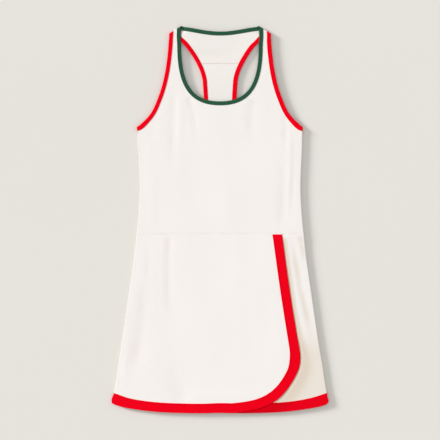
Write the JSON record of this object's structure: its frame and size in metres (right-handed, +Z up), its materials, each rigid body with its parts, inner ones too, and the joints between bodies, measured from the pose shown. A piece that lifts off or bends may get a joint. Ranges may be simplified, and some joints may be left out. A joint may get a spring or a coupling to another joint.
{
  "type": "sleeveless tennis dress",
  "caption": "Sleeveless tennis dress laid flat: racer back, wrap skirt with a round corner, green neck binding, red armhole bindings and red hem bands.",
  "frame": {"origin": "centre of the laid garment's box, at the surface it lies on", "axes": "+Z up out of the front of the garment, +Y from hem to shoulders, +X to the right as seen from above"},
  "size_m": [0.4884, 0.8694, 0.0069],
  "materials": {
    "white_knit": "matt off-white fine knit",
    "red_rib": "matt bright red fine rib",
    "green_rib": "matt dark green fine rib"
  },
  "bodies": {
    "root": {"front_bodice": "white_knit", "back_yoke": "white_knit", "back_bodice": "white_knit", "back_skirt": "white_knit", "skirt_wrap": "white_knit", "skirt_under": "white_knit", "neck_binding": "green_rib", "armhole_binding_left": "red_rib", "armhole_binding_right": "red_rib", "wrap_band": "red_rib", "under_band": "red_rib", "back_hem_band": "red_rib"}
  },
  "joints": []
}
